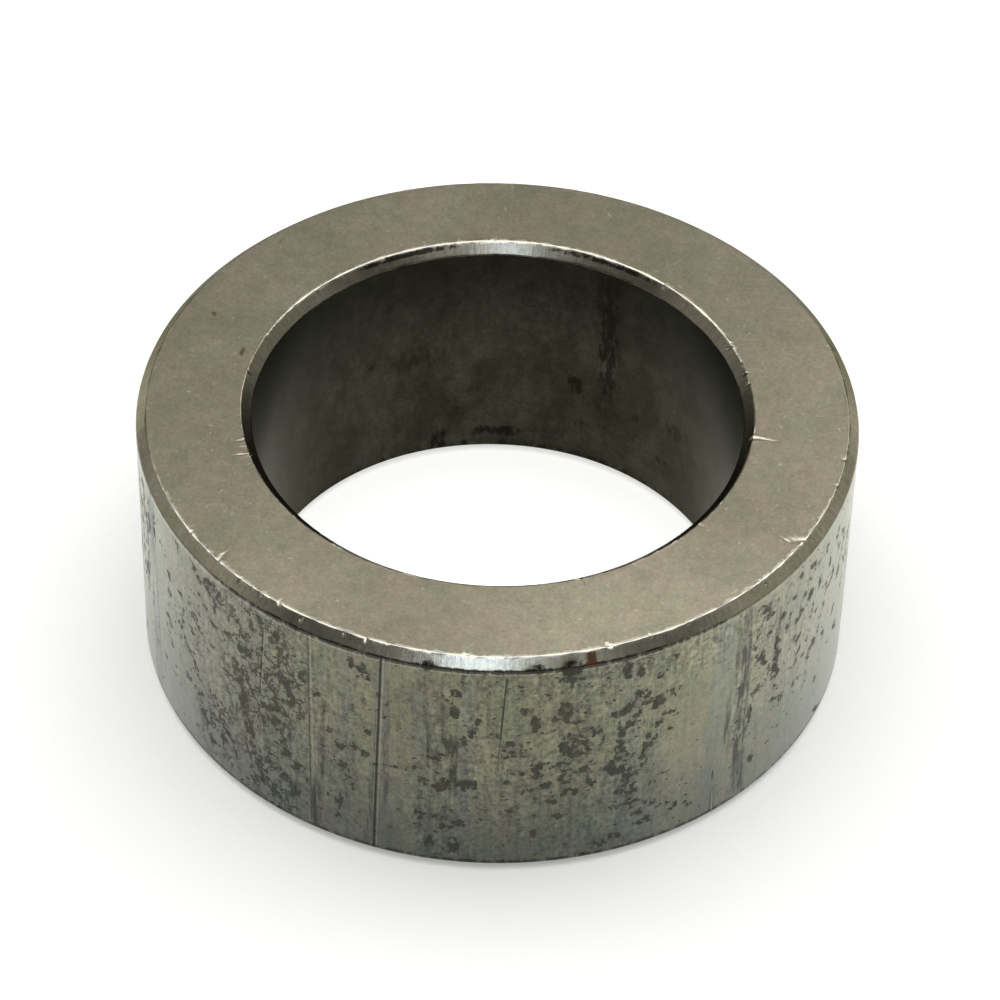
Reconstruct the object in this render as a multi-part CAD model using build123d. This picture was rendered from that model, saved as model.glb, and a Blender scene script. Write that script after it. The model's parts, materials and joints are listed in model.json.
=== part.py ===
from build123d import *
import os

# Spacer ring: a thick-walled steel sleeve, one solid piece. It is a slice of
# seamless tube, faced at both ends, bored to size, and broken at all four edges.
# Millimetres. The origin is the centre of the bore in the lower face, +Z up the bore.
bore_diameter = 34.0
wall_thickness = 8.0
ring_width = 20.0
outer_chamfer = 0.7
bore_chamfer = 0.7


def wall_section():
    """The wall cut through on one side of the axis, with its four corners chamfered."""
    with BuildSketch(Plane.XZ) as section:
        with Locations((bore_diameter / 2, 0)):
            Rectangle(wall_thickness, ring_width, align=(Align.MIN, Align.MIN))
        chamfer(section.vertices().group_by(Axis.X)[0], length=bore_chamfer)
        chamfer(section.vertices().group_by(Axis.X)[-1], length=outer_chamfer)
    return section.sketch


def spacer_ring():
    """The ring, turned in one piece about the axis of its bore."""
    return revolve(wall_section(), axis=Axis.Z, revolution_arc=360)


os.makedirs("parts", exist_ok=True)
export_step(spacer_ring(), "parts/spacer_ring.step")
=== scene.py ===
import json
import math
import random

import bpy
import numpy as np
from mathutils import Matrix, Vector, noise


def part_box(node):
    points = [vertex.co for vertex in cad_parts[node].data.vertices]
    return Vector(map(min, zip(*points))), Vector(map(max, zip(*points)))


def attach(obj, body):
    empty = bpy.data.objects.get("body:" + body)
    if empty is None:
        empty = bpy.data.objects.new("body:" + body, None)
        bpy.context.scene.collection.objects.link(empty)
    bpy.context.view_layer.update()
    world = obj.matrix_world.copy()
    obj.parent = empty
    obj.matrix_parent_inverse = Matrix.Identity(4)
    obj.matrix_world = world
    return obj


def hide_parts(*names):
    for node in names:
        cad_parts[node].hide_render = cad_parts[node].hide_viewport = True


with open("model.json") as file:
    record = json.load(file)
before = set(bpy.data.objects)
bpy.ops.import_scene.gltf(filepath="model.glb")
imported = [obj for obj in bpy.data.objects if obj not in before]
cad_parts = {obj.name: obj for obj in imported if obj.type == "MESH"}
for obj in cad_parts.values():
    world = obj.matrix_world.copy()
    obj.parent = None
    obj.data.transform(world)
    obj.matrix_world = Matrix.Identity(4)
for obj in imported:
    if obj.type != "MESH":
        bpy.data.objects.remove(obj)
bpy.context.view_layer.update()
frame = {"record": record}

# The spacer ring. It is one piece: a slice of thick seamless steel tube. The two ends, the bore
# and the four edges are turned, and the outside keeps the skin it was drawn with, with dark scale
# left on it in flakes. It lies on its lower end, and the bearing of each mark is in degrees from
# the front, round to the right.
MM = 0.001
ring_low, ring_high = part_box("spacer_ring")
bore_mount = next(mount for mount in frame["record"]["mounts"] if mount["name"] == "bore")
outer_radius = ring_high[0] / MM
bore_radius = bore_mount["dims"]["r_mm"]
ring_width = (ring_high[2] - ring_low[2]) / MM
chamfer = (ring_width - bore_mount["dims"]["length_mm"]) / 2

# The dressed surface lies a hair under the nominal one, so that burrs and waves stay inside it.
skin = 0.02
outer = outer_radius - skin
inner = bore_radius + skin
top = ring_width - skin

# Four finishes, in the order of the material slots.
FACED, TURNED, MILL, BORED = range(4)

# Once round the wall's section. Each run starts at a radius and height, is cut into steps of one
# finish, and ends in a corner of a given rounding, steps and finish.
section = [
    (outer - chamfer, 0.0, 2, TURNED, 0.16, 3, MILL),
    (outer, chamfer, 46, MILL, 0.18, 5, MILL),
    (outer, top - chamfer, 7, TURNED, 0.14, 5, TURNED),
    (outer - chamfer, top, 18, FACED, 0.19, 5, TURNED),
    (inner + chamfer, top, 6, TURNED, 0.12, 3, TURNED),
    (inner, top - chamfer, 30, BORED, 0.12, 3, BORED),
    (inner, chamfer, 2, TURNED, 0.12, 3, TURNED),
    (inner + chamfer, 0.0, 5, FACED, 0.16, 3, TURNED),
]
# How far from a corner the first rows lie, and how much the ends' rows crowd to their edges.
edge_steps = (0.06, 0.12, 0.19, 0.28)
end_crowding = 0.6


def run_shares(steps, length, finish):
    """Where the rows lie along a run, with short ones next to its corners."""
    if finish == TURNED:
        return np.arange(steps) / steps
    close = np.array(edge_steps if finish == MILL else edge_steps[:1]) / length
    middle = np.linspace(close[-1], 1 - close[-1], steps - 1)
    even = np.concatenate(([0], close[:-1], middle, 1 - close[-2::-1]))
    if finish != FACED:
        return even
    return (1 - end_crowding) * even + end_crowding * (0.5 - 0.5 * np.cos(math.pi * even))


# Rows of the mesh: radius, height, outward way, finish, and how much of a corner the row is.
rows = []
for number, (radius, height, steps, finish, rounding, arc_steps, corner_finish) in enumerate(section):
    here = Vector((radius, height))
    there = Vector(section[(number + 1) % len(section)][:2])
    after = Vector(section[(number + 2) % len(section)][:2])
    way = (there - here).normalized()
    turn = way.angle((after - there).normalized())
    last_radius, last_height, _, _, last_rounding, _, _ = section[number - 1]
    last_turn = way.angle((here - Vector((last_radius, last_height))).normalized())
    start = here + way * last_rounding * math.tan(last_turn / 2)
    end = there - way * rounding * math.tan(turn / 2)
    normal = Vector((way.y, -way.x))
    for share in run_shares(steps, (end - start).length, finish):
        rows.append((*start.lerp(end, share), *normal, finish, 0.0))
    centre = end - normal * rounding
    for step in range(arc_steps):
        angle = math.atan2(normal.y, normal.x) + turn * step / arc_steps
        out = Vector((math.cos(angle), math.sin(angle)))
        rows.append((*(centre + out * rounding), *out, corner_finish, math.sin(math.pi * step / arc_steps)))
row_radius, row_height, row_out, row_up, row_finish, row_corner = np.array(rows).T

# Nicks and scores on the upper end and its edges: bearing and radius at each end, half width
# where it starts, depth, all in degrees and millimetres. Each starts at its edge and tapers. The
# outer edge's come first.
end_scores = [
    (-48.9, 24.3, -49.9, 23.5, 0.18, 0.05),
    (58.8, 24.3, 56.4, 23.1, 0.22, 0.06),
    (47.2, 24.5, 46.4, 24.1, 0.17, 0.08),
    (18.1, 24.2, 18.7, 24.3, 0.16, 0.09),
    (25.2, 24.3, 25.1, 24.1, 0.12, 0.06),
    (31.8, 24.4, 31.7, 24.25, 0.14, 0.05),
    (15.4, 24.4, 15.4, 24.2, 0.10, 0.04),
    (-35.2, 24.35, -35.8, 24.1, 0.14, 0.07),
    (-38.9, 24.45, -39.3, 24.3, 0.14, 0.06),
    (-40.8, 24.4, -41.0, 24.3, 0.12, 0.05),
    (-43.3, 24.45, -43.6, 24.25, 0.16, 0.06),
    (-56.6, 24.4, -56.8, 24.2, 0.14, 0.06),
    (-30.8, 24.6, -30.8, 24.35, 0.12, 0.08),
    (-23.3, 24.45, -23.3, 24.3, 0.10, 0.06),
    (-19.6, 24.45, -19.6, 24.3, 0.10, 0.07),
    (-4.3, 24.25, -3.6, 24.3, 0.14, 0.06),
    (69.1, 24.35, 69.1, 24.2, 0.10, 0.05),
    (72.8, 24.3, 72.8, 24.15, 0.10, 0.05),
    (79.1, 24.3, 79.1, 24.1, 0.12, 0.07),
    (106.7, 24.5, 107.2, 24.1, 0.16, 0.08),
    (98.8, 24.1, 98.8, 23.7, 0.08, 0.03),
    (81.3, 17.65, 81.6, 18.3, 0.24, 0.10),
    (81.6, 18.2, 81.2, 19.4, 0.09, 0.06),
    (50.0, 17.7, 50.9, 18.3, 0.07, 0.04),
    (44.0, 17.7, 44.3, 18.1, 0.06, 0.04),
    (31.0, 17.7, 31.5, 18.2, 0.06, 0.04),
    (19.2, 17.7, 19.1, 18.1, 0.15, 0.07),
    (283.1, 17.65, 283.4, 18.1, 0.10, 0.06),
    (285.8, 17.65, 285.4, 18.2, 0.09, 0.05),
    (288.3, 17.6, 287.5, 18.5, 0.13, 0.08),
    (247.8, 17.6, 247.8, 17.8, 0.10, 0.05),
    (260.0, 17.55, 260.0, 17.75, 0.10, 0.06),
    (113.1, 17.5, 112.7, 17.75, 0.18, 0.09),
    (114.0, 17.7, 113.5, 17.9, 0.08, 0.05),
    (103.4, 17.6, 103.4, 17.8, 0.12, 0.07),
    (99.6, 17.6, 99.6, 17.75, 0.10, 0.05),
    (138.7, 17.55, 138.8, 17.7, 0.12, 0.06),
    (182.2, 17.7, 181.3, 18.1, 0.07, 0.05),
    (228.4, 17.6, 228.5, 17.75, 0.12, 0.05),
    (235.0, 17.6, 235.0, 17.75, 0.10, 0.05),
]

# Dents along the lower edge of the outer chamfer: bearing, half width round the ring, depth.
edge_dents = [(12.2, 0.7, 0.10), (7.3, 0.35, 0.07), (5.7, 0.22, 0.05), (-9.7, 0.4, 0.06), (-31.0, 0.3, 0.04)]

# Draw lines down the outside: bearing and height of each end, half width, depth.
draw_lines = [
    (-37.3, 17.6, -38.4, 11.0, 0.10, 0.022),
    (-29.0, 19.2, -28.8, 1.2, 0.11, 0.016),
    (-16.8, 19.2, -17.5, 9.0, 0.12, 0.034),
    (-17.5, 9.0, -18.0, 0.8, 0.12, 0.034),
    (-17.5, 15.0, -18.3, 5.0, 0.08, 0.016),
    (-9.3, 12.0, -9.2, 4.5, 0.07, 0.008),
    (2.4, 18.8, 1.6, 13.0, 0.10, 0.022),
    (1.6, 13.0, 1.3, 10.0, 0.09, 0.016),
    (23.9, 12.0, 23.6, 8.5, 0.07, 0.010),
    (37.5, 4.7, 37.4, 0.8, 0.08, 0.020),
    (37.6, 4.7, 38.3, 0.8, 0.08, 0.020),
    (-67.7, 19.0, -67.9, 0.8, 0.10, 0.020),
    (-51.4, 18.7, -51.4, 16.6, 0.08, 0.015),
    (49.3, 18.0, 49.6, 12.0, 0.08, 0.012),
]
# The metal is drawn up into a ridge beside the deeper ones, which is a score of negative depth.
draw_lines += [
    (-37.0, 17.6, -38.1, 11.0, 0.08, -0.012),
    (-28.5, 19.2, -28.3, 6.0, 0.09, -0.014),
    (-16.3, 19.2, -17.0, 9.0, 0.08, -0.012),
    (-17.0, 9.0, -17.5, 0.8, 0.07, -0.010),
    (2.0, 18.8, 1.2, 13.0, 0.06, -0.008),
    (37.6, 4.0, 37.9, 0.8, 0.12, -0.014),
]
# Behind, where the ring isn't seen, a few are drawn from a seed.
hidden_marks = random.Random(11)
depth_for_width = 0.25
for bearing in (104, 121, 139, 158, 171, 193, 209, 226, 243, 258):
    lean = hidden_marks.uniform(-1.5, 1.5)
    high = hidden_marks.uniform(11, 19.4)
    low = hidden_marks.uniform(0.8, 7)
    width = hidden_marks.uniform(0.07, 0.11)
    draw_lines.append((bearing, high, bearing + lean, low, width, depth_for_width * width))


def swing(bearings, centre):
    """How far bearings lie from a centre, from -180 to 180 degrees."""
    return (bearings - centre + 180) % 360 - 180


def falling(away, half_width, softness):
    """1 close by, falling softly to 0 further away than half_width."""
    return 1 / (1 + np.exp((away - half_width) / softness))


# Columns of the mesh, closer together over the front, where the ring is seen best, and closest
# where a mark crosses them. Crowd is how close they stand, against 1 at the back. A mark's reach
# is in its half widths.
column_count = 638
mark_crowd, closest_crowd = 5, 7
mark_reach = 1.5
fine_step = 0.01
fine = np.arange(0, 360, fine_step)
from_front = np.abs(swing(fine, 0))
crowd = 1 + 0.9 * falling(from_front, 70, 4) + 0.2 * falling(from_front, 95, 4)
for first, _, second, _, half_width, _ in end_scores + draw_lines:
    reach = abs(first - second) / 2 + math.degrees(mark_reach * half_width / outer)
    away = np.abs(swing(fine, (first + second) / 2))
    crowd += mark_crowd / (1 + (away / reach) ** 6)
total = np.concatenate(([0], np.cumsum(np.minimum(crowd, closest_crowd))))
even_shares = np.arange(column_count) / column_count * total[-1]
bearings = np.interp(even_shares, total, np.arange(0, 360 + fine_step / 2, fine_step))

angle = np.radians(bearings)[:, None]
aside, ahead = np.sin(angle), -np.cos(angle)
flat_height = np.broadcast_to(row_height, (column_count, len(rows)))
flat_up = np.broadcast_to(row_up, (column_count, len(rows)))
points = np.stack([row_radius * aside, row_radius * ahead, flat_height], axis=2)
normals = np.stack([row_out * aside, row_out * ahead, flat_up], axis=2)


def end_height(radius):
    """How high the upper end and its chamfers are at a radius."""
    return top - max(0, inner + chamfer - radius, radius - outer + chamfer)


def fade(centre, half_width, softness):
    """1 for the columns near a bearing, falling softly to 0 beyond half_width degrees."""
    return falling(np.abs(swing(bearings, centre)), half_width, softness)[:, None]


def place(bearing, radius, height):
    """A point of the ring, in millimetres."""
    turn = math.radians(bearing)
    return np.array((radius * math.sin(turn), -radius * math.cos(turn), height))


# A score's lip: its height as a share of the depth, and its place and width in half widths.
lip_height, lip_place, lip_width = 0.2, 1.3, 0.3


def scored(start, end, half_width, depth, taper=0.0):
    """How deep a score from start to end cuts each point. It has a raised lip each side."""
    along = end - start
    share = np.clip(((points - start) @ along) / (along @ along), 0, 1)
    away = np.linalg.norm(points - start - share[..., None] * along, axis=2) / half_width
    away /= 1 - taper * share
    lip = lip_height * np.exp(-(((away - lip_place) / lip_width) ** 2)) * (depth > 0)
    return depth * (np.clip(1 - away, 0, 1) - lip)


def rippled(grain, seed):
    """Smooth noise over the points, from -1 to 1, with its grain in cycles a millimetre."""
    seed_spacing = 17.0
    stretch = Vector(grain)
    shift = Vector((seed * seed_spacing, 0, 0))
    found = [noise.noise(Vector(point) * stretch + shift) for point in points.reshape(-1, 3)]
    return np.array(found).reshape(points.shape[:2])


end_taper = 0.6
score = np.zeros(points.shape[:2])
for first, near, second, far, half_width, depth in end_scores:
    start = place(first, near, end_height(near))
    end = place(second, far, end_height(far))
    score += scored(start, end, half_width, depth, end_taper)
for first, high, second, low, half_width, depth in draw_lines:
    score += scored(place(first, outer, high), place(second, outer, low), half_width, depth)
for bearing, half_width, depth in edge_dents:
    away = np.linalg.norm(points - place(bearing, outer, top - chamfer), axis=2) / half_width
    score += depth * np.exp(-2 * away**2)

# The surface isn't quite true. Each wave is its depth in millimetres, its grain and its seed: the
# broken edges are ragged, the outside has its long waves from drawing, and the ends are nearly flat.
ragged = 0.016 * rippled((1.1, 1.1, 0.3), 1) + 0.030 * rippled((2.8, 2.8, 0.6), 2)
drawn = 0.010 * rippled((0.25, 0.25, 0.06), 3) + 0.008 * rippled((1.5, 1.5, 0.08), 4)
faced = 0.004 * rippled((0.4, 0.4, 0.4), 5)
on_wall = (row_finish == MILL) & (row_corner == 0)
# The edges of the upper end are torn in full, those below its chamfers less, and the lower ones
# not at all, so that the ring stands flat.
below_chamfer_share = 0.4
torn = below_chamfer_share * (row_height > ring_width / 2)
torn = row_corner * np.where(row_height > top - chamfer / 2, 1.0, torn)
cut = score + ragged * torn + drawn * on_wall + faced * (row_finish == FACED)

# The burr along the upper edges is painted bright, wider here and there: faintly all round, and as a painted
# highlight over the front of the outer edge and the back of the bore's edge, where the light runs over them.
burr_highlight_width, least_burr_highlight = 0.14, 0.03
burr_highlight_reach = np.maximum(burr_highlight_width * (1 + 1.6 * rippled((1.7, 1.7, 1.7), 7)), least_burr_highlight)
from_outer = np.hypot(row_radius - outer + chamfer, row_height - top)
from_bore = np.hypot(row_radius - inner - chamfer, row_height - top)
burr = np.exp(-((from_outer / burr_highlight_reach) ** 2)) * (0.15 + 0.95 * fade(0, 67, 4))
burr += np.exp(-((from_bore / burr_highlight_reach) ** 2)) * (0.1 + 0.85 * fade(175, 64, 6))

points = points - normals * np.maximum(cut, -skin)[..., None]
points[..., 2] = np.clip(points[..., 2], 0, ring_width)

# Scale on the outside, in flakes: bearing, height, half width, half height, and its lean in degrees.
flakes_far_left = [
    (-63.5, 15.6, 0.52, 0.15, -42), (-62, 14.3, 0.34, 0.18, -48), (-61.5, 12.3, 0.57, 0.21, -52),
    (-63, 9.8, 0.63, 0.24, -46), (-63, 8, 0.57, 0.15, -40), (-58.5, 14.1, 0.52, 0.15, -45),
    (-54, 14.2, 0.4, 0.21, -48), (-52.3, 13.8, 0.4, 0.15, -48), (-48.7, 14.4, 0.4, 0.3, 0),
    (-45.5, 14.8, 0.35, 0.2, 0), (-48.3, 16, 0.35, 0.3, 30), (-51, 15.6, 0.8, 0.15, -48),
    (-52.5, 12.7, 1.15, 0.21, -48), (-54.5, 11.6, 0.8, 0.16, -50), (-58, 12, 0.4, 0.21, -48),
    (-58.5, 11, 0.69, 0.15, -41), (-56, 9.5, 0.46, 0.27, -48), (-54, 8.5, 0.57, 0.16, -56),
    (-49, 7.3, 0.4, 0.3, 30), (-56.8, 6.7, 0.34, 0.18, -44), (-55, 6.5, 0.52, 0.18, -44),
    (-52.5, 6.2, 0.46, 0.24, -48), (-64.7, 5, 0.4, 0.21, -52), (-52, 4.5, 0.57, 0.27, -48),
    (-48.5, 5.5, 0.5, 0.3, 30), (-47, 4, 0.4, 0.3, 0), (-50, 3, 0.4, 0.4, 0),
    (-53, 18, 0.69, 0.3, -48), (-58.5, 18.5, 0.8, 0.15, -48), (-48.8, 17.7, 1.0, 0.8, 0),
]
flakes_left = [
    (-43, 12.3, 0.22, 0.7, 15), (-41.8, 12.1, 0.5, 0.25, -10), (-42.3, 14.2, 0.4, 0.25, -30),
    (-40.8, 14.4, 0.4, 0.35, 0), (-43, 11, 0.4, 0.2, 20), (-41.5, 9.5, 0.5, 1.2, 0),
    (-40.8, 7, 0.4, 0.7, 0), (-40, 5.5, 0.3, 0.3, 0), (-36.3, 10.3, 0.7, 0.3, 10),
    (-34, 10.6, 0.5, 0.3, 0), (-34.6, 9.3, 0.8, 0.35, 10), (-34, 7.8, 0.25, 0.8, 15),
    (-33.3, 6.6, 0.4, 0.45, 0), (-31.5, 6, 0.3, 0.4, 0), (-36.5, 5, 0.6, 0.22, -30),
    (-33.5, 4.2, 0.5, 0.5, 0), (-32, 3.3, 0.4, 0.5, 0), (-38, 2.8, 0.9, 0.2, 35),
    (-36, 2.3, 0.3, 0.3, 0), (-34, 13.6, 0.3, 0.5, 0), (-32.7, 13.2, 0.35, 0.6, 0),
    (-32, 12.2, 0.35, 0.5, 0), (-34.7, 11.7, 0.4, 0.22, 0), (-29.7, 5, 0.35, 0.22, 0),
    (-30, 15, 0.3, 0.5, 0), (-38.5, 18.2, 0.5, 0.25, 20), (-34.7, 17.5, 0.3, 0.6, 0),
    (-21.5, 18.2, 0.25, 0.5, 0), (-19.8, 17.9, 0.5, 0.4, -30), (-18.8, 17.2, 0.4, 0.3, -30),
    (-27.5, 14, 0.3, 0.25, 0), (-21.6, 14, 0.2, 0.25, 0), (-24.2, 12.8, 0.25, 0.2, 0),
    (-19, 12, 0.35, 0.3, 0), (-25, 11, 0.4, 0.2, 20), (-21, 10, 0.25, 0.45, 0),
    (-23.5, 9.7, 0.3, 0.22, 0), (-19.5, 9.9, 0.3, 0.25, 0), (-23, 7.9, 0.4, 0.4, 0),
    (-22, 7.3, 0.7, 0.25, 0), (-22, 6.5, 0.5, 0.2, 10), (-23.8, 4.2, 0.3, 0.6, -15),
    (-20.2, 3.9, 0.3, 0.3, 0), (-24.2, 2.8, 0.4, 0.22, -35),
]
flakes_front = [
    (-5.5, 15.2, 0.3, 0.7, 0), (-5.2, 17.1, 0.3, 0.4, 20), (-2.7, 13.5, 0.35, 0.45, -30),
    (-4.4, 12.3, 0.5, 0.35, 20), (-3.2, 8.4, 0.7, 0.45, 5), (-7, 8.2, 0.5, 0.45, 0),
    (-7.9, 7.7, 0.4, 0.3, 0), (-10.2, 8.4, 0.25, 0.4, 0), (-10.5, 5, 0.25, 0.5, 0),
    (-7.5, 5, 0.6, 0.35, 0), (-7, 4.2, 0.4, 0.3, 0), (-4.8, 4.6, 0.4, 0.35, 0),
    (-5.4, 2.3, 0.45, 0.8, -10), (-9, 2.4, 0.3, 0.6, 0), (-1.7, 14.5, 0.4, 0.2, 15),
    (-8, 10.8, 0.5, 0.2, 0), (-14.6, 9.25, 0.5, 0.2, 10), (-12.6, 9.4, 0.5, 0.2, 12),
    (-11.3, 9.6, 0.4, 0.2, 20), (12, 18.2, 0.8, 0.22, 0), (12.2, 17.6, 0.25, 0.3, 0),
    (21, 18.1, 0.3, 0.75, -5), (23.2, 17.8, 0.22, 0.6, 0), (5.3, 15.5, 0.45, 0.25, -30),
    (7, 14.4, 0.3, 0.8, -10), (11.6, 15.2, 0.6, 1.0, 0), (10, 14.6, 0.3, 0.4, 0),
    (13.7, 14.2, 0.4, 0.25, -20), (18, 15.4, 0.3, 0.2, 0), (20.6, 14.2, 0.9, 0.28, 15),
    (21.8, 14.8, 0.25, 0.3, 40), (22.5, 13.4, 0.35, 0.35, 0), (16.3, 13.4, 0.75, 0.22, 0),
    (16.6, 12.8, 0.4, 0.25, 0), (20.5, 12.4, 0.25, 0.7, 0), (22, 12.8, 0.35, 0.2, 0),
    (0.8, 13.3, 0.35, 0.2, 0), (2.8, 12.4, 0.6, 0.2, 0), (3.4, 11.4, 0.7, 0.2, 0),
    (12.9, 12.6, 0.75, 0.4, -20), (12, 11.6, 0.7, 0.5, 0), (13.9, 11.4, 0.7, 0.6, 20),
    (13.3, 10.7, 0.5, 0.3, 0), (20.2, 11, 0.45, 0.5, 0), (20.6, 10.1, 0.5, 0.5, 0),
    (21.6, 9.6, 0.4, 0.35, 40), (7.6, 10.2, 0.45, 0.3, 0), (4, 9.7, 0.4, 0.25, -20),
    (11.3, 10, 0.4, 0.5, 0), (12.1, 9.4, 0.5, 0.22, -20), (14.7, 9.4, 0.45, 0.3, -20),
    (7.3, 9.2, 0.35, 0.3, 0), (18.7, 9.1, 0.5, 0.35, 45), (19.5, 8.8, 0.6, 0.22, -10),
    (21, 8.4, 0.7, 0.4, 0), (22.3, 8, 0.6, 0.35, -20), (21.5, 7.4, 0.35, 0.5, 20),
    (23.4, 7.5, 0.45, 0.22, -40), (2.8, 8.7, 0.5, 0.2, -20), (4, 8.5, 0.45, 0.25, -10),
    (9, 8.3, 0.4, 0.2, 0), (6.6, 7.9, 0.45, 0.22, 20), (11.6, 8.4, 0.4, 0.3, -30),
    (15.6, 7.9, 0.3, 0.4, 30), (13.9, 7.3, 0.7, 0.24, 20), (11.7, 7.4, 0.35, 0.3, 0),
    (9.8, 6.8, 0.4, 0.4, 0), (20.7, 6.4, 0.4, 0.35, 0), (22.9, 6.2, 0.2, 0.6, 0),
    (3.3, 5.7, 0.22, 0.4, -25), (21.2, 5, 0.7, 0.25, 0), (22.4, 5.4, 0.25, 0.5, 0),
    (10.3, 5.1, 0.5, 0.2, 10), (23.6, 4, 0.55, 0.25, -20), (7, 3.6, 0.22, 0.3, 20),
    (17.6, 1.8, 0.6, 0.4, 0), (20.2, 2.1, 0.5, 0.35, -20),
]
flakes_right = [
    (28.4, 17.9, 0.4, 0.3, 40), (26.5, 16.7, 0.22, 0.25, 0), (23, 15.5, 0.3, 0.4, 20),
    (25, 15.4, 0.6, 0.2, -10), (26.6, 14.6, 1.0, 0.2, 12), (26.6, 14, 0.5, 0.2, 10),
    (28.6, 12.9, 0.45, 0.2, -10), (26.6, 12.1, 0.35, 0.22, 60), (29, 11.3, 0.3, 0.2, -30),
    (24.8, 11.2, 0.5, 0.35, -30), (26, 10.7, 0.25, 0.5, -30), (26, 6.4, 0.25, 0.2, 0),
    (26, 4.4, 0.4, 0.25, 0), (28.3, 3.8, 0.3, 0.2, 0), (30.2, 3.3, 0.4, 0.2, 0),
    (33.2, 2.6, 0.5, 0.22, -50), (25, 2.9, 0.5, 0.25, 15), (46.7, 18, 0.7, 0.45, 0),
    (47.6, 16.9, 0.6, 0.35, -30), (51, 15.8, 0.3, 0.25, 0), (46.5, 13.5, 0.3, 0.35, -20),
    (47, 12.7, 0.3, 0.3, 0), (46, 10.5, 0.5, 0.25, 15), (55.5, 18, 0.35, 0.4, 0),
    (54, 16.6, 0.3, 0.2, 0), (58.5, 16.7, 0.35, 0.2, 0), (59.3, 17.8, 0.5, 0.2, -20),
    (61.5, 17, 0.5, 0.22, -45), (57.3, 15.7, 0.3, 0.3, -40), (59.3, 15, 0.4, 0.4, 40),
    (55.9, 14.2, 0.5, 0.3, 30), (56.2, 12, 0.35, 0.3, -20), (66, 13.5, 0.5, 0.2, -30),
    (62, 9.4, 0.7, 0.35, -10), (60.3, 8.6, 0.4, 0.2, -30), (50.4, 9.2, 0.35, 0.2, -30),
    (50.7, 8, 0.35, 0.25, -30), (50.3, 7, 0.5, 0.22, -30), (52.7, 7.5, 0.35, 0.2, 0),
    (51.6, 4.8, 0.35, 0.2, 0), (45.5, 3.7, 0.25, 0.5, -30), (71.5, 16.3, 0.6, 0.25, -40),
    (70.5, 15.4, 0.6, 0.22, -40), (75.5, 12.5, 0.9, 0.3, -40), (72.5, 7, 0.8, 0.35, -50),
    (66.3, 1.2, 0.4, 0.2, -30), (50.5, 10.6, 0.6, 0.3, -20), (50.2, 12.5, 0.35, 1.6, 0),
]
dashes = [
    (-71, 16.6, 0.18, 1.6, 0), (-72.6, 14.4, 0.2, 2.2, 3), (-74.5, 16, 0.2, 1.4, 0),
    (-76.5, 12.5, 0.25, 2.4, 0), (-73.4, 10.5, 0.2, 1.5, -4), (-79, 15, 0.3, 1.8, 0),
    (-68.2, 16.8, 0.16, 1.0, 0), (-80, 10, 0.3, 1.8, 0), (-70.8, 8, 0.18, 1.0, 0),
    (53, 14.5, 0.16, 0.5, -12), (54.5, 12.6, 0.16, 0.4, -18), (56.4, 10.4, 0.15, 0.5, -12),
    (57.2, 13, 0.16, 0.6, -10), (58.2, 9.4, 0.16, 0.35, -25), (59.6, 11, 0.16, 0.5, -20),
    (60.3, 13.4, 0.18, 0.6, -12), (61.6, 12.4, 0.15, 0.4, -30), (62.6, 15.4, 0.18, 0.5, -15),
    (63.2, 9.8, 0.18, 0.45, -20), (64.2, 17.5, 0.18, 0.4, -20), (64.6, 11.6, 0.16, 0.5, -15),
    (65.8, 8.5, 0.18, 0.35, -25), (66.3, 15.6, 0.18, 0.6, -12), (67.6, 11.2, 0.2, 0.5, -20),
    (68.3, 14, 0.2, 0.5, -18), (69.3, 17.2, 0.2, 0.4, -20), (70.5, 9.4, 0.22, 0.5, -15),
    (71.2, 12.8, 0.22, 0.6, -10), (73.2, 15, 0.22, 0.7, -12), (74.6, 10.6, 0.25, 0.6, -15),
    (77, 14, 0.3, 0.8, -10), (79.2, 11, 0.3, 0.7, -12), (56, 7.6, 0.16, 0.4, -20),
    (60, 6.4, 0.18, 0.35, -25), (64, 5, 0.2, 0.4, -20), (48.6, 11.4, 0.15, 0.4, -15),
    (45.2, 15.4, 0.14, 0.5, -10), (44.6, 8.2, 0.14, 0.6, -8), (47.8, 15, 0.15, 0.4, -20),
    (24.3, 9.6, 0.16, 1.1, -4), (23.6, 14.2, 0.14, 0.6, -8), (17.4, 11.9, 0.14, 0.5, -10),
]
flakes = flakes_far_left + flakes_left + flakes_front + flakes_right + dashes
hidden_flakes = 210
flakes += [
    (
        hidden_marks.uniform(82, 288),
        hidden_marks.uniform(1, 19),
        hidden_marks.uniform(0.2, 0.8),
        hidden_marks.uniform(0.2, 0.6),
        hidden_marks.uniform(-50, 50),
    )
    for _ in range(hidden_flakes)
]
scale = np.full(points.shape[:2], -1.0)
for bearing, height, half_width, half_height, lean in flakes:
    across = outer * np.radians(swing(bearings, bearing))[:, None]
    above = row_height[on_wall] - height
    turn = math.radians(lean)
    along = across * math.cos(turn) + above * math.sin(turn)
    beside = above * math.cos(turn) - across * math.sin(turn)
    inside = (1 - np.hypot(along / half_width, beside / half_height)) * min(half_width, half_height)
    scale[:, on_wall] = np.maximum(scale[:, on_wall], inside)


def blotted(finishes, blots):
    """Soft patches on some finishes: place, half width round it, half size the other way, strength."""
    found = np.zeros(points.shape[:2])
    for bearing, radius, height, half_width, half_height, strength in blots:
        around = radius * np.radians(swing(bearings, bearing))[:, None] / half_width
        beyond = np.hypot(row_radius - radius, row_height - height)[None, :] / half_height
        found = np.maximum(found, strength * np.exp(-((around**4 + beyond**4) ** 0.7)))
    return found * np.isin(row_finish, finishes)
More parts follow.
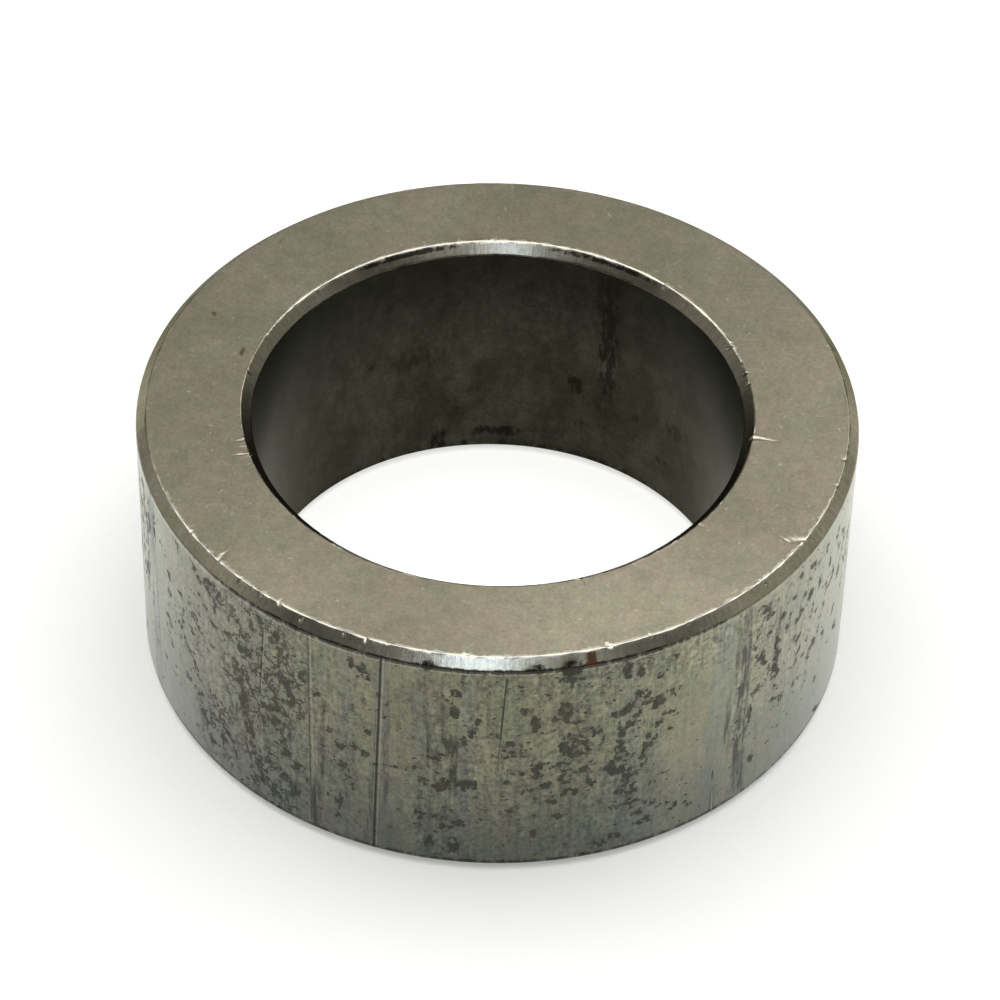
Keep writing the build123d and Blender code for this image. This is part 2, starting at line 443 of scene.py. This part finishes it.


# Where the outside is worm-eaten all over, and where the upper end is painted brighter over its front and
# back, a painted sheen.
wear = blotted(
    (MILL, FACED),
    [
        (-39, outer_radius, 13, 4.6, 8.5, 1.0),
        (-37, outer_radius, 4, 3.6, 4, 1.0),
        (-48, outer_radius, 5, 3.2, 5, 0.9),
        (-52, outer_radius, 11, 2.2, 2.5, 0.6),
        (-31, outer_radius, 13, 1.2, 4, 0.9),
        (-24, outer_radius, 9, 3.5, 12, 0.3),
        (-8, outer_radius, 5, 2.0, 5, 0.55),
        (-2, outer_radius, 10, 6.5, 12, 0.32),
        (14, outer_radius, 9, 6.5, 12, 0.36),
        (42.8, outer_radius, 11, 0.9, 8, 0.5),
        (48, outer_radius, 16, 3.0, 3, 0.5),
        (55, outer_radius, 12, 5, 7, 0.25),
        (-58, outer_radius, 10, 6, 9, 0.45),
        (105, outer_radius, 12, 5, 7, 0.8),
        (140, outer_radius, 8, 6, 8, 0.9),
        (185, outer_radius, 11, 4, 8, 0.7),
        (222, outer_radius, 6, 6, 6, 0.9),
        (262, outer_radius, 13, 4, 6, 0.8),
        (18, 21, ring_width, 9.0, 5.0, 1.0),
        (-45, 21, ring_width, 3.5, 5.0, 0.4),
        (197, 21, ring_width, 5.5, 5.0, 0.7),
        (232, 21, ring_width, 4.0, 5.0, 0.3),
    ],
)
# The bore's chamfer is darker than the outer one, and the outer one's far side is darker too, a painted
# shade.
darker_chamfer = np.where(row_radius < inner + chamfer, 1.0, 0.7 * (1 - fade(0, 93, 3)))
wear = np.maximum(wear, (row_finish == TURNED) * darker_chamfer)

# Where the skin is darker in bands down the outside.
shade = blotted(
    (MILL,),
    [
        (-7.9, outer_radius, 13.5, 1.5, 5, 0.42),
        (-9.3, outer_radius, 9, 0.35, 8, 0.4),
        (-7.5, outer_radius, 12, 1.4, 1.7, 0.6),
        (-5.5, outer_radius, 10, 0.35, 3.4, 0.8),
        (-26.2, outer_radius, 12, 0.25, 1.6, 0.9),
        (-26.9, outer_radius, 8.5, 0.25, 3, 0.9),
        (-27.9, outer_radius, 3.2, 0.4, 3, 0.9),
        (-16, outer_radius, 10, 0.3, 9, 0.5),
        (-18.9, outer_radius, 4, 0.4, 4, 0.5),
        (-48.8, outer_radius, 17.7, 1.0, 1, 0.5),
        (-69.5, outer_radius, 15.5, 0.7, 4, 0.8),
        (-70.0, outer_radius, 4, 0.7, 4, 0.6),
        (42.8, outer_radius, 11, 0.6, 9, 0.9),
        (42.9, outer_radius, 4, 0.7, 4, 0.9),
        (40.9, outer_radius, 15, 0.2, 4, 0.7),
        (40.0, outer_radius, 9, 0.25, 3, 0.9),
        (50.3, outer_radius, 14, 0.6, 4, 0.6),
        (21, outer_radius, 18.1, 0.3, 0.8, 0.5),
        (110, outer_radius, 10, 0.8, 9, 0.7),
        (149, outer_radius, 12, 1.2, 7, 0.8),
        (178, outer_radius, 8, 0.5, 8, 0.8),
        (216, outer_radius, 11, 0.9, 8, 0.7),
        (249, outer_radius, 7, 0.6, 7, 0.8),
    ],
)
# Where the upper end and the chamfers are darker: small spots, the dents along the outer chamfer's lower
# edge, and lines under the bore's burr.
shade += blotted(
    (FACED, TURNED),
    [
        (222.5, 23.3, ring_width, 0.22, 0.22, 0.8),
        (246, 22, ring_width, 0.15, 0.15, 0.7),
        (94.8, 23.3, ring_width, 0.2, 0.1, 0.6),
        (155, 23.8, ring_width, 0.25, 0.2, 0.5),
        (-9.7, 24.8, 19.4, 0.5, 0.14, 1.3),
        (12.3, 24.75, 19.45, 0.65, 0.16, 1.3),
        (7.2, 24.75, 19.45, 0.3, 0.14, 1.3),
        (5.7, 24.7, 19.5, 0.12, 0.2, 1.0),
        (155, 17.5, 19.8, 3.4, 0.13, 2.4),
        (203, 17.5, 19.8, 3.2, 0.13, 2.4),
    ],
)
# Stains in the bore: a streak down it and a few spots.
shade += blotted(
    (BORED,),
    [
        (152.5, bore_radius, 13, 1.1, 7, 0.85),
        (131, bore_radius, 7.7, 0.9, 0.35, 1.6),
        (143.5, bore_radius, 6.9, 0.45, 0.25, 1.2),
        (160.3, bore_radius, 7.8, 0.6, 0.7, 1.6),
        (163.3, bore_radius, 6.4, 0.3, 0.2, 1.1),
        (134.5, bore_radius, 4, 0.8, 0.2, 1.0),
        (159.5, bore_radius, 4.3, 0.4, 0.3, 1.0),
        (177.5, bore_radius, 2, 0.9, 0.4, 1.7),
        (183.5, bore_radius, 1.9, 0.9, 0.35, 1.6),
        (194.8, bore_radius, 1.8, 0.6, 0.4, 1.7),
        (213.5, bore_radius, 10.6, 0.18, 0.25, 1.3),
        (200, bore_radius, 10, 3.0, 1.2, 0.4),
        (168, bore_radius, 13.5, 1.5, 1.5, 0.4),
    ],
)


def banded(height, half_height):
    """1 for the rows near a height, and 0 well away from it."""
    return np.exp(-(((row_height - height) / half_height) ** 4))


# Painted shade: a dark line along the lower edge of the outer chamfer, over the front, where that edge
# mirrors the dim room, and a fainter line round the foot, outside and in the bore, where the ring meets the
# floor.
hair = 0.06
outside, in_bore = row_radius > outer - hair, row_radius < inner + hair
low_edge = banded(top - chamfer - 0.09, 0.15) * outside * (0.15 + 1.2 * fade(-5, 38, 4))
foot_line = banded(chamfer + 0.13, 0.19) * (0.8 * outside + 0.4 * in_bore)
wander = 1.5 + rippled((1.3, 1.3, 1.3), 6)
shade = np.maximum(shade, (low_edge + foot_line) * wander)
# Rust: the spot on the outer chamfer near the front, and small stains.
rust = blotted(
    (FACED, TURNED, MILL),
    [
        (15.3, 24.6, 19.65, 0.3, 0.6, 1.3),
        (15.1, 24.9, 19.35, 0.34, 0.2, 1.2),
        (2.3, 23.1, ring_width, 0.16, 0.12, 0.7),
        (254.5, 18.6, ring_width, 0.5, 0.2, 0.8),
        (184, 17.9, ring_width, 2.0, 0.14, 0.7),
        (270, 20.5, ring_width, 1.2, 0.7, 0.12),
        (-16, outer_radius, 8.3, 0.3, 0.2, 0.7),
        (-14, outer_radius, 9.4, 1.0, 0.2, 0.4),
        (9.5, outer_radius, 6.8, 0.5, 0.4, 0.35),
        (29, outer_radius, 18, 0.4, 0.6, 0.35),
        (24.6, outer_radius, 10.8, 0.5, 0.5, 0.3),
        (16.3, outer_radius, 13.4, 0.7, 0.2, 0.3),
    ],
)

# The mesh goes round the section and round the ring, and closes on itself both ways.
faces = []
for column in range(column_count):
    near, far = column * len(rows), (column + 1) % column_count * len(rows)
    for row in range(len(rows)):
        above = (row + 1) % len(rows)
        faces.append((near + row, far + row, far + above, near + above))
ring_mesh = bpy.data.meshes.new("spacer_ring_dressed")
ring_mesh.from_pydata((points * MM).reshape(-1, 3).tolist(), [], faces)
ring_mesh.polygons.foreach_set("use_smooth", np.ones(len(faces), bool))
ring_mesh.polygons.foreach_set("material_index", np.tile(row_finish.astype(int), column_count))
marks = {"score": score, "scale": scale, "wear": wear, "shade": shade, "rust": rust, "burr": burr}
for name, values in marks.items():
    layer = ring_mesh.attributes.new(name, "FLOAT", "POINT")
    layer.data.foreach_set("value", values.astype(np.float32).ravel())

# Its unwrapping is the section laid out up the map in two half turns, one above the other.
margin = 0.004
run = np.hypot(np.diff(row_radius, append=row_radius[0]), np.diff(row_height, append=row_height[0]))
length_low = np.concatenate(([0], np.cumsum(run)))
length_low = margin + (0.5 - 2 * margin) * length_low / length_low[-1]
turned_by = np.append(bearings, 360)
half = (np.arange(column_count) >= column_count // 2).astype(int)
half_start = turned_by[[0, column_count // 2]][half]
half_size = np.diff(turned_by[[0, column_count // 2, column_count]])[half]
u_near = margin + (1 - 2 * margin) * (turned_by[:-1] - half_start) / half_size
u_far = margin + (1 - 2 * margin) * (turned_by[1:] - half_start) / half_size
u = np.stack([u_near, u_far, u_far, u_near], axis=1)[:, None, :]
v = np.stack([length_low[:-1], length_low[:-1], length_low[1:], length_low[1:]], axis=1)[None, :, :]
unwrapped = np.stack(np.broadcast_arrays(u, v + 0.5 * half[:, None, None]), axis=3)
ring_mesh.uv_layers.new(name="OFBake").data.foreach_set("uv", unwrapped.astype(np.float32).ravel())
ring_mesh.validate()

ring = bpy.data.objects.new("spacer_ring_dressed", ring_mesh)
bpy.context.collection.objects.link(ring)
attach(ring, "root")
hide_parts("spacer_ring")


class Wire:
    """A value on its way to a shader. Arithmetic on it adds Math nodes to its finish."""

    def __init__(self, finish, socket):
        self.finish = finish
        self.socket = socket

    def maths(self, operation, *others):
        values = dict(enumerate((self, *others)))
        return self.finish.node("ShaderNodeMath", {"operation": operation}, values)

    def __add__(self, other):
        return self.maths("ADD", other)

    def __sub__(self, other):
        return self.maths("SUBTRACT", other)

    def __mul__(self, other):
        return self.maths("MULTIPLY", other)

    def __rsub__(self, other):
        return self * -1 + other

    __radd__ = __add__
    __rmul__ = __mul__


class Finish:
    """One surface finish. Its node method adds every node that isn't arithmetic."""

    def __init__(self, name):
        self.material = bpy.data.materials.new(name)
        self.material.use_nodes = True
        self.tree = self.material.node_tree
        self.tree.nodes.clear()
        self.shader = self.tree.nodes.new("ShaderNodeBsdfPrincipled")
        output = self.tree.nodes.new("ShaderNodeOutputMaterial")
        self.tree.links.new(self.shader.outputs[0], output.inputs["Surface"])
        self.place = self.scaled(self.node("ShaderNodeTexCoord", out="Object"), (1 / MM, 1 / MM, 1 / MM))

    def node(self, kind, settings=(), sockets=(), out=0):
        """Adds a node with its settings, fills its sockets, and gives one of its outputs."""
        made = self.tree.nodes.new(kind)
        for name, value in dict(settings).items():
            setattr(made, name, value)
        for name, value in dict(sockets).items():
            self.plug(made.inputs[name], value)
        return Wire(self, made.outputs[out])

    def plug(self, socket, value):
        """Fills a socket with a wire, or with a value that is the same all over."""
        if isinstance(value, Wire):
            self.tree.links.new(value.socket, socket)
        else:
            socket.default_value = value

    def scaled(self, vector, factors):
        """A place or a colour, each part of it times its own factor, or all times one wire."""
        return self.node("ShaderNodeVectorMath", {"operation": "MULTIPLY"}, {0: vector, 1: factors})

    def along(self, axis):
        """How far along an axis a point lies, in millimetres."""
        return self.node("ShaderNodeSeparateXYZ", sockets={0: self.place}, out=axis)

    def across(self):
        """A place that changes only round the ring, for marks that run straight across an edge."""
        flat = self.scaled(self.place, (1, 1, 0))
        outward = self.node("ShaderNodeVectorMath", {"operation": "NORMALIZE"}, {0: flat})
        return self.scaled(outward, (outer, outer, 0))

    def noise(self, grain, squash=1.0, where=None, detail=3.0, rough=0.6, seed=0.0):
        """Soft noise, about 0.5, its grain in cycles a millimetre. A small squash draws it out upward."""
        vector = where or self.scaled(self.place, (1, 1, squash))
        sockets = {"Vector": vector, "W": seed, "Scale": grain, "Detail": detail, "Roughness": rough}
        return self.node("ShaderNodeTexNoise", {"noise_dimensions": "4D"}, sockets)

    def ease(self, value, low, high):
        """0 below low, 1 above high, and smooth between."""
        sockets = {"Value": value, "From Min": low, "From Max": high}
        return self.node("ShaderNodeMapRange", {"interpolation_type": "SMOOTHSTEP"}, sockets)

    def blend(self, share, first, second):
        """The first colour where share is 0, the second where it is 1."""
        first, second = (c if isinstance(c, Wire) else (*c, 1.0) for c in (first, second))
        return self.node("ShaderNodeMix", {"data_type": "RGBA"}, {0: share, 6: first, 7: second}, out=2)

    def mark(self, name):
        """One of the values kept at the mesh's points."""
        return self.node("ShaderNodeAttribute", {"attribute_name": name}, out="Fac")

    def relief(self, height, depth):
        """A bump whose height is in parts of depth, in millimetres."""
        return self.node("ShaderNodeBump", sockets={"Height": height, "Distance": depth * MM}, out="Normal")

    def show(self, values):
        """Fills the shader's sockets and gives the finished material."""
        for name, value in values.items():
            self.plug(self.shader.inputs[name], (*value, 1.0) if isinstance(value, tuple) else value)
        return self.material


# How far the dark patches and the painted shade lines are drawn out in height, and their colour.
drawn_out = 0.15
patch_and_shade_black = (0.015, 0.014, 0.0105)


def soil_and_shade(finish, squash=drawn_out):
    """How far the soft dark patches and the painted shade lines cover a finish."""
    speckle = finish.noise(2.5, squash, detail=4.0, rough=0.65, seed=20.0)
    broken = 0.25 + 1.5 * finish.ease(speckle, 0.36, 0.64)
    return finish.ease(finish.mark("shade") * broken, 0.1, 1.1) * 0.85


def soiled_and_shaded(finish, colour, dark_colour=patch_and_shade_black, squash=drawn_out):
    """A finish's colour with its dark patches, its painted shade lines and its rust stains."""
    rust_brown = (0.1, 0.036, 0.01)
    speckle = finish.noise(2.0, detail=4.0, rough=0.65, seed=21.0)
    stain = finish.ease(finish.mark("rust") * (0.4 + 1.2 * speckle), 0.15, 0.8) * 0.85
    return finish.blend(stain, finish.blend(soil_and_shade(finish, squash), colour, dark_colour), rust_brown)


def faced_steel():
    """The turned ends: even and dull, a little warm, with faint clouds, fine grain and bright specks."""
    grey = (0.285, 0.262, 0.195)
    pale_grey = (0.318, 0.296, 0.222)
    warm_grey = (0.33, 0.278, 0.222)
    green_grey = (0.258, 0.262, 0.193)
    bright = (0.55, 0.53, 0.45)
    smeared_and_highlight_bright = (0.6, 0.57, 0.49)
    groove_dark = (0.1, 0.09, 0.07)

    finish = Finish("faced_steel")
    clouds = finish.noise(0.22, detail=4.0, rough=0.5, seed=1.0)
    tints = finish.noise(0.4, detail=4.0, seed=13.0)
    mottle = finish.noise(1.3, seed=22.0)
    grain = finish.noise(4.0, rough=0.65, seed=2.0)
    specks = finish.noise(2.4, detail=2.0, seed=12.0)
    colour = finish.blend(finish.ease(clouds, 0.35, 0.65), grey, pale_grey)
    colour = finish.blend(finish.ease(tints, 0.48, 0.65) * 0.6, colour, warm_grey)
    colour = finish.blend(finish.ease(tints, 0.49, 0.35) * 0.6, colour, green_grey)
    colour = finish.scaled(colour, (mottle - 0.5) * 0.5 + (grain - 0.5) * 0.75 + 1)
    # Painted sheen: the upper end is painted brighter where it is marked.
    colour = finish.scaled(colour, finish.mark("wear") * 0.25 + 1)
    colour = finish.blend(finish.ease(specks, 0.65, 0.73) * 0.6, colour, bright)
    colour = soiled_and_shaded(finish, colour)
    # Nicks shine where metal is smeared, and the burr is painted bright, partly a painted highlight; the
    # deepest nicks are dark inside.
    score = finish.mark("score")
    smeared_and_highlit = finish.ease(score.maths("ABSOLUTE"), 0.004, 0.018)
    smeared_and_highlit += finish.ease(finish.mark("burr") + (grain - 0.5) * 1.6, 0.3, 0.5)
    colour = finish.blend(smeared_and_highlit * 0.85, colour, smeared_and_highlight_bright)
    colour = finish.blend(finish.ease(score, 0.045, 0.07) * 0.8, colour, groove_dark)
    return finish.show(
        {
            "Base Color": colour,
            "Metallic": 1.0,
            "Roughness": 0.28 + 0.08 * grain,
            "Normal": finish.relief(grain, 0.004),
        }
    )


def turned_steel():
    """The chamfers and broken edges: smooth, with faint chatter marks across and clouds along them."""
    grey = (0.4, 0.385, 0.29)
    warm_grey = (0.47, 0.43, 0.34)
    burr_highlight_bright = (0.5, 0.48, 0.42)

    finish = Finish("turned_steel")
    chatter = finish.noise(2.6, where=finish.across(), seed=3.0)
    patches = finish.noise(0.5, detail=4.0, seed=4.0)
    grain = finish.noise(3.5, rough=0.65, seed=16.0)
    colour = finish.blend(finish.ease(patches, 0.35, 0.65), grey, warm_grey)
    colour = finish.scaled(colour, (chatter - 0.5) * 0.6 + (grain - 0.5) * 0.6 + 1)
    # Darker where marked: the bore's chamfer, and the outer chamfer's far side as a painted shade.
    colour = finish.scaled(colour, 1 - finish.mark("wear") * 0.38)
    # The burr is painted bright, partly a painted highlight where the light runs over the edge.
    burr_highlighted = finish.ease(finish.mark("burr") + (grain - 0.5) * 1.6, 0.3, 0.6)
    colour = finish.blend(burr_highlighted, soiled_and_shaded(finish, colour), burr_highlight_bright)
    return finish.show(
        {
            "Base Color": colour,
            "Metallic": 1.0,
            "Specular Tint": (0.3, 0.3, 0.25),
            "Roughness": 0.2 + 0.1 * patches,
            "Normal": finish.relief(chatter * 1.4 + grain, 0.006),
        }
    )


def mill_skin():
    """The outside as it was drawn: an oiled olive skin, finely streaked, with flakes of dark scale."""
    olive = (0.106, 0.106, 0.064)
    pale_olive = (0.136, 0.132, 0.083)
    brown = (0.148, 0.12, 0.08)
    green = (0.105, 0.112, 0.068)
    band_grey = (0.093, 0.098, 0.084)
    reflection_bright = (0.28, 0.27, 0.22)
    brown_scale = (0.062, 0.057, 0.044)
    green_scale = (0.05, 0.055, 0.044)
    groove_dark = (0.03, 0.03, 0.023)
    ridge_bright = (0.3, 0.29, 0.23)
    side_light_gain = (1.6, 1.6, 1.65)
    foot_shade_gain = (0.46, 0.52, 0.68)
    wear_gain = (0.7, 0.7, 0.8)

    finish = Finish("mill_skin")
    streaks = finish.noise(3.6, 0.05, seed=5.0)
    bands = finish.noise(0.5, 0.05, detail=2.0, rough=0.5, seed=6.0)
    clouds = finish.noise(0.28, 0.5, rough=0.5, seed=7.0)
    tints = finish.noise(0.4, 0.6, seed=18.0)
    mottle = finish.noise(1.4, 0.7, detail=4.0, rough=0.7, seed=17.0)
    grain = finish.noise(3.0, 0.8, rough=0.7, seed=8.0)
    crawl = finish.noise(0.75, 0.8, detail=4.0, rough=0.65, seed=9.0)
    spots = finish.noise(1.4, 1.9, seed=10.0)
    cell_sockets = {"Vector": finish.scaled(finish.place, (1, 1, 0.8)), "Scale": 2.9}
    cells = finish.node("ShaderNodeTexVoronoi", sockets=cell_sockets, out="Color")
    wear = finish.mark("wear")
    height = finish.along("Z")

    # The bare skin, lighter round the right side, a painted light, and darker and bluer toward the foot, a
    # painted shade.
    colour = finish.blend(finish.ease(clouds, 0.4, 0.6), olive, pale_olive)
    colour = finish.blend(finish.ease(tints, 0.5, 0.62) * 0.7, colour, brown)
    colour = finish.blend(finish.ease(tints, 0.47, 0.36) * 0.7, colour, green)
    colour = finish.blend(finish.ease(bands, 0.47, 0.33) * 0.6, colour, band_grey)
    colour = finish.blend(finish.ease(finish.along("X"), 6, 15), colour, finish.scaled(colour, side_light_gain))
    foot = 1 - finish.ease(height, 0.5, 13.0)
    colour = finish.blend(foot * 0.85, colour, finish.scaled(colour, foot_shade_gain))
    colour = finish.blend(wear * 0.3, colour, finish.scaled(colour, wear_gain))
    texture = (mottle - 0.5) * 1.4 + (grain - 0.5) * 2.8 + (streaks - 0.5) * 1.2
    colour = finish.scaled(colour, texture * (0.45 + 1.05 * finish.ease(wear, 0.0, 0.4)) + 1)
    # A thin bright line is painted just under the upper chamfer, a painted reflection of the bright floor
    # far off.
    painted_reflection = finish.ease(height, 18.85, 18.95) * finish.ease(height, 19.22, 19.16)
    painted_reflection *= finish.ease(grain, 0.3, 0.55)
    colour = finish.blend(painted_reflection * 0.7, colour, reflection_bright)

    # Scale lies in its flakes, in worm tracks where the skin is worn, and in small spots.
    ragged = (cells - 0.5) * 0.45 + (grain - 0.5) * 0.8 + (mottle - 0.5) * 0.7
    laid = finish.ease(finish.mark("scale").maths("MINIMUM", 0.1) + ragged, -0.06, 0.05)
    tracks = 1 - finish.ease((crawl - 0.5).maths("ABSOLUTE"), 0.01, 0.045)
    eaten = tracks * finish.ease(wear, 0.35, 0.95)
    spotted = finish.ease(spots + wear * 0.1 + (cells - 0.5) * 0.25, 0.685, 0.72)
    bare = (1 - laid) * (1 - eaten) * (1 - spotted)
    covered = 1 - bare
    dark = finish.blend(finish.ease(clouds, 0.42, 0.58), brown_scale, green_scale)
    thickness = 0.78 + (grain - 0.5) * 2.6 + (mottle - 0.5) * 1.6
    colour = soiled_and_shaded(finish, finish.blend(covered * thickness, colour, dark))

    # Draw lines are dark and the ridges beside them bright, the shade and light of the grooves' sides
    # painted in as painted shade and painted highlight.
    score = finish.mark("score")
    groove = finish.ease(score, 0.003, 0.016) * 0.9
    colour = finish.blend(groove, colour, groove_dark)
    colour = finish.blend(finish.ease(score, -0.003, -0.012) * 0.5, colour, ridge_bright)
    return finish.show(
        {
            "Base Color": colour,
            "Metallic": 1.0,
            "Roughness": 0.34 + 0.14 * covered,
            "Coat Weight": bare * (1 - 0.6 * soil_and_shade(finish)) * (1 - groove),
            "Coat Roughness": 0.3,
            "Coat Tint": (0.97, 1.0, 0.9),
            "Normal": finish.relief(streaks * 0.5 - covered + grain * 0.6, 0.007),
        }
    )


def bored_steel():
    """The bore: smooth, and painted dark with the shade inside the ring, darkest near the upper end, with a
    few spots.
    """
    dark_grey = (0.0215, 0.021, 0.014)
    grey = (0.033, 0.0325, 0.0235)
    upper_shade_black = (0.009, 0.0085, 0.006)
    spot_and_shade_black = (0.005, 0.0045, 0.0035)

    finish = Finish("bored_steel")
    clouds = finish.noise(0.3, 0.6, detail=4.0, seed=14.0)
    mottle = finish.noise(1.1, 0.7, detail=4.0, rough=0.65, seed=23.0)
    grain = finish.noise(3.5, rough=0.65, seed=15.0)
    # Painted shade: the bore's colours are dark, and darker still toward the upper end.
    colour = finish.blend(finish.ease(clouds, 0.4, 0.6), dark_grey, grey)
    colour = finish.blend(finish.ease(finish.along("Z"), 9.0, 19.5) * 0.8, colour, upper_shade_black)
    colour = finish.scaled(colour, (mottle - 0.5) * 1.3 + (grain - 0.5) * 1.2 + 1)
    return finish.show(
        {
            "Base Color": soiled_and_shaded(finish, colour, dark_colour=spot_and_shade_black, squash=0.3),
            "Metallic": 1.0,
            "Specular Tint": (0.8, 0.8, 0.75),
            "Roughness": 0.28 + 0.1 * grain,
            "Normal": finish.relief(grain, 0.005),
        }
    )


for make in (faced_steel, turned_steel, mill_skin, bored_steel):
    ring_mesh.materials.append(make())

# The camera looks down at the front of the ring from the photograph's place.
camera_elevation = 43.563
camera_distance = 0.29956
camera_yaw, camera_pitch, camera_roll = 0.058, 0.143, 1.422
tilt = math.radians(camera_elevation)
aim = Vector((0, 0, (ring_low[2] + ring_high[2]) / 2))
into = Vector((0, math.cos(tilt), -math.sin(tilt)))
camera_place = aim - into * camera_distance
right = Vector((1, 0, 0))
upward = right.cross(into)


def swung(first, second, degrees):
    """The two ways after the first is turned towards the second."""
    turn = math.radians(degrees)
    return first * math.cos(turn) + second * math.sin(turn), second * math.cos(turn) - first * math.sin(turn)


into, right = swung(into, right, camera_yaw)
into, upward = swung(into, upward, camera_pitch)
right, upward = swung(right, upward, camera_roll)
camera = bpy.data.objects.new("camera", bpy.data.cameras.new("camera"))
camera.data.lens = 152.58
camera.data.sensor_width = 36
camera.data.clip_start = 0.01
camera.matrix_world = Matrix.Translation(camera_place) @ Matrix((right, upward, -into)).transposed().to_4x4()
bpy.context.collection.objects.link(camera)
bpy.context.scene.camera = camera
bpy.context.scene.view_settings.view_transform = "Standard"

# The pale floor that the ring stands on. It is plain paper, lit a little from below, and most
# inside the bore, where the ring would shade it.
floor_reach = 8.0
corners = [(-1, -1), (1, -1), (1, 1), (-1, 1)]
floor_mesh = bpy.data.meshes.new("floor")
floor_mesh.from_pydata([(x * floor_reach, y * floor_reach, 0) for x, y in corners], [], [(0, 1, 2, 3)])
floor = bpy.data.objects.new("floor", floor_mesh)
bpy.context.collection.objects.link(floor)
paper = Finish("pale_floor")
fibre = paper.noise(0.5, rough=0.5, seed=30.0)
sheet = paper.blend(fibre, (0.8, 0.8, 0.8), (0.82, 0.82, 0.82))
from_axis = paper.node("ShaderNodeVectorMath", {"operation": "LENGTH"}, {0: paper.place}, out="Value")
under_bore = paper.ease(from_axis, outer_radius - 1, bore_radius + 0.5)
glow = paper.blend(under_bore, (0.37, 0.37, 0.37), (1.0, 1.0, 0.97))
looks = {"Base Color": sheet, "Emission Color": glow, "Emission Strength": 0.6, "Roughness": 0.9}
floor_mesh.materials.append(paper.show(looks))

# Studio light: a broad soft lamp overhead, a small cool one over the camera, and dim cards round
# the sides and back. Each is given by its bearing, elevation, distance, width, height, radiance
# and colour, and faces the ring.
lamps = [
    ("overhead", 165, 87, 3.0, 4.7, 4.7, 2.1, (1.0, 0.99, 0.95)),
    ("front_lamp", -4, 46.4, 3.0, 0.85, 0.8, 4.3, (0.64, 0.76, 1.0)),
    ("front_card", 8, 44, 3.0, 2.6, 1.3, 0.34, (0.92, 0.97, 1.0)),
    ("left_card", -98, 20, 3.0, 3.6, 2.0, 0.34, (1.0, 0.97, 0.9)),
    ("right_card", 93, 17, 3.0, 5.0, 2.3, 0.33, (1.0, 0.97, 0.9)),
    ("left_shoulder", -122, 48, 3.0, 2.0, 1.0, 1.9, (1.0, 0.98, 0.94)),
    ("right_shoulder", 122, 48, 3.0, 2.0, 1.0, 1.9, (1.0, 0.98, 0.94)),
    ("back_card", 180, 24, 3.0, 3.6, 1.8, 0.2, (1.0, 0.97, 0.92)),
    ("back_lamp", 160, 43, 3.0, 0.7, 0.7, 2.6, (1.0, 0.98, 0.94)),
]
for name, bearing, elevation, distance, width, height, radiance, colour in lamps:
    turn, rise = math.radians(bearing), math.radians(elevation)
    outward = Vector((math.sin(turn) * math.cos(rise), -math.cos(turn) * math.cos(rise), math.sin(rise)))
    lamp = bpy.data.objects.new(name, bpy.data.lights.new(name, "AREA"))
    lamp.data.shape = "ELLIPSE"
    lamp.data.size = width
    lamp.data.size_y = height
    lamp.data.color = colour
    lamp.data.energy = radiance * math.pi * math.pi * width * height / 4
    lamp.location = aim + outward * distance
    lamp.rotation_mode = "QUATERNION"
    lamp.rotation_quaternion = outward.to_track_quat("Z", "Y")
    bpy.context.collection.objects.link(lamp)

# The room beyond the lamps is dim.
room = bpy.data.worlds.new("studio")
room.use_nodes = True
room.node_tree.nodes["Background"].inputs["Color"].default_value = (0.08, 0.08, 0.075, 1)
bpy.context.scene.world = room
